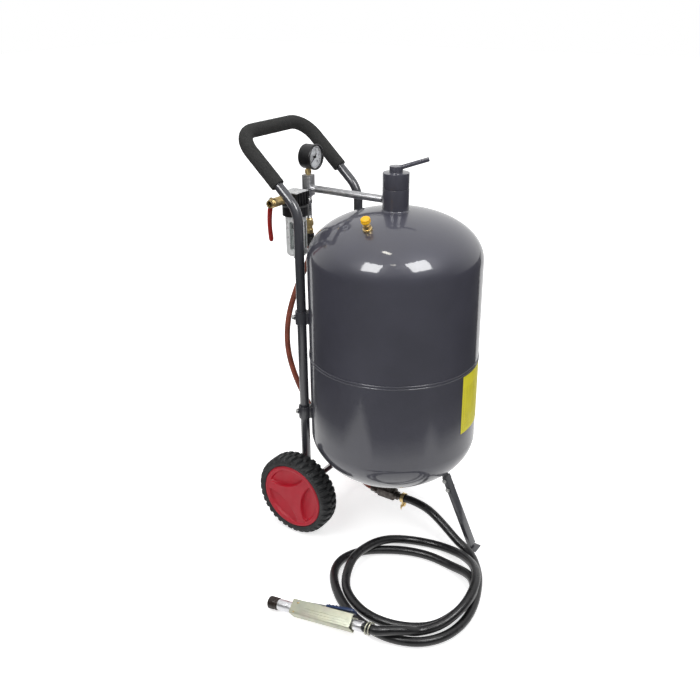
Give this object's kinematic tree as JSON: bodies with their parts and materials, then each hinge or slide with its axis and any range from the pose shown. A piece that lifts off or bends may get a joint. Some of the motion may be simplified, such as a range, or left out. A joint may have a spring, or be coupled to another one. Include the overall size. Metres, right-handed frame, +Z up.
{
  "type": "pressure pot abrasive blaster",
  "caption": "Upright steel pressure tank on a wheeled tube cart, with screw filler cap, air line with gauge and water separator, and a coiled hose ending in a lever gun.",
  "frame": {"origin": "on the floor, in the middle of the rest face under the front foot; the tank axis is 235 mm behind it", "axes": "+Z up; the axle lies along X; the wheels and the handle are towards +Y"},
  "size_m": [0.6541, 0.7047, 0.9873],
  "materials": {
    "tank_paint": "slate grey gloss enamel",
    "frame_paint": "slate grey satin enamel",
    "seal_rubber": "black nitrile",
    "foam": "black open-grain foam",
    "tyre": "solid black rubber",
    "hub": "red moulded plastic",
    "zinc": "bright zinc plate",
    "brass": "machined brass",
    "yellow_cap": "yellow moulded plastic",
    "galvanised": "galvanised, slightly dull",
    "steel": "bright steel",
    "black_plastic": "black satin",
    "needle": "black",
    "dial": null,
    "gauge_glass": "clear",
    "clear_bowl": "clear polycarbonate",
    "guard": "light grey",
    "filter": "white sintered",
    "red_sleeve": "red dipped vinyl",
    "air_hose": "red-brown ribbed rubber",
    "cast_valve": "dark cast",
    "blast_hose": "black gloss rubber",
    "passivated": "yellow passivated zinc",
    "blue_sleeve": "blue dipped vinyl",
    "aluminium": "machined",
    "nozzle": "dark brown ceramic"
  },
  "bodies": {
    "cart_and_tank": {"tank_upper_shell": "tank_paint", "tank_lower_shell": "tank_paint", "seam_band": "tank_paint", "filler_neck": "tank_paint", "safety_valve_body": "brass", "handle_frame": "frame_paint", "foam_grip": "foam", "tube_clamp_lower_left": "frame_paint", "tube_clamp_lower_right": "frame_paint", "tube_clamp_upper_left": "frame_paint", "tube_clamp_upper_right": "frame_paint", "clamp_bolt_lower_left": "zinc", "clamp_bolt_lower_right": "zinc", "clamp_bolt_upper_left": "zinc", "clamp_bolt_upper_right": "zinc", "axle": "zinc", "axle_brace_left": "frame_paint", "axle_brace_right": "frame_paint", "front_leg": "frame_paint", "leg_bolt_upper": "zinc", "leg_bolt_lower": "zinc", "leg_bracket": "frame_paint", "leg_foot": "frame_paint", "manifold_block": "galvanised", "gauge_stem": "brass", "gauge_case": "black_plastic", "gauge_dial": "dial", "gauge_lens": "gauge_glass", "feed_pipe": "galvanised", "separator_head": "black_plastic", "separator_bowl": "clear_bowl", "bowl_guard": "guard", "filter_element": "filter", "inlet_valve_body": "brass", "drop_nipple": "steel", "drop_fitting": "brass", "hose_ferrule": "black_plastic", "air_hose": "air_hose", "mixing_valve": "cast_valve", "blast_hose": "blast_hose", "outlet_clamp": "brass", "gun_body": "passivated", "gun_barrel": "aluminium", "gun_nozzle": "nozzle", "gun_clamp": "passivated"},
    "wheel_left": {"tyre_left": "tyre", "wheel_hub_left": "hub"},
    "wheel_right": {"tyre_right": "tyre", "wheel_hub_right": "hub"},
    "cap_seal": {"cap_seal_ring": "seal_rubber"},
    "filler_cap": {"filler_cap": "tank_paint", "cap_lever": "tank_paint"},
    "safety_pull": {"safety_valve_cap": "yellow_cap", "safety_valve_poppet": "brass"},
    "inlet_lever": {"inlet_valve_lever": "red_sleeve", "inlet_valve_ball": "steel"},
    "gauge_needle": {"gauge_needle": "needle"},
    "drain_knob": {"drain_knob": "black_plastic"},
    "gun_trigger": {"gun_lever": "zinc", "gun_grip": "blue_sleeve"}
  },
  "joints": [
    {"name": "wheel_left_spin", "type": "hinge", "parent": "cart_and_tank", "child": "wheel_left", "pos_m": [-0.163, 0.413, 0.105], "axis": [1, 0, 0], "continuous": true},
    {"name": "wheel_right_spin", "type": "hinge", "parent": "cart_and_tank", "child": "wheel_right", "pos_m": [0.163, 0.413, 0.105], "axis": [1, 0, 0], "continuous": true},
    {"name": "cap_lift", "type": "slide", "parent": "cart_and_tank", "child": "cap_seal", "axis": [0, 0, 1], "range_m": [0, 0.012]},
    {"name": "cap_turn", "type": "hinge", "parent": "cap_seal", "child": "filler_cap", "pos_m": [0, 0.235, 0.8665], "axis": [0, 0, 1], "range_deg": [0, 1800]},
    {"name": "safety_pull_slide", "type": "slide", "parent": "cart_and_tank", "child": "safety_pull", "axis": [-0.3569, 0, 0.9341], "range_m": [0, 0.003], "stiffness_N_per_m": 800},
    {"name": "inlet_lever_turn", "type": "hinge", "parent": "cart_and_tank", "child": "inlet_lever", "pos_m": [-0.12, 0.472, 0.8306], "axis": [0, 1, 0], "range_deg": [0, 90]},
    {"name": "gauge_needle_turn", "type": "hinge", "parent": "cart_and_tank", "child": "gauge_needle", "pos_m": [0, 0.472, 0.912], "axis": [0, 1, 0], "range_deg": [0, 270]},
    {"name": "drain_knob_turn", "type": "hinge", "parent": "cart_and_tank", "child": "drain_knob", "pos_m": [-0.053, 0.472, 0.69], "axis": [0, 0, 1], "range_deg": [0, 90]},
    {"name": "gun_trigger_squeeze", "type": "hinge", "parent": "cart_and_tank", "child": "gun_trigger", "pos_m": [-0.42114, 0.2142, 0.0304], "axis": [0.5368, -0.0438, -0.8426], "range_deg": [0, 3.5]}
  ],
  "couplings": [
    {"joint": "cap_turn", "follows": "cap_lift", "rad_per_m": 2618}
  ]
}
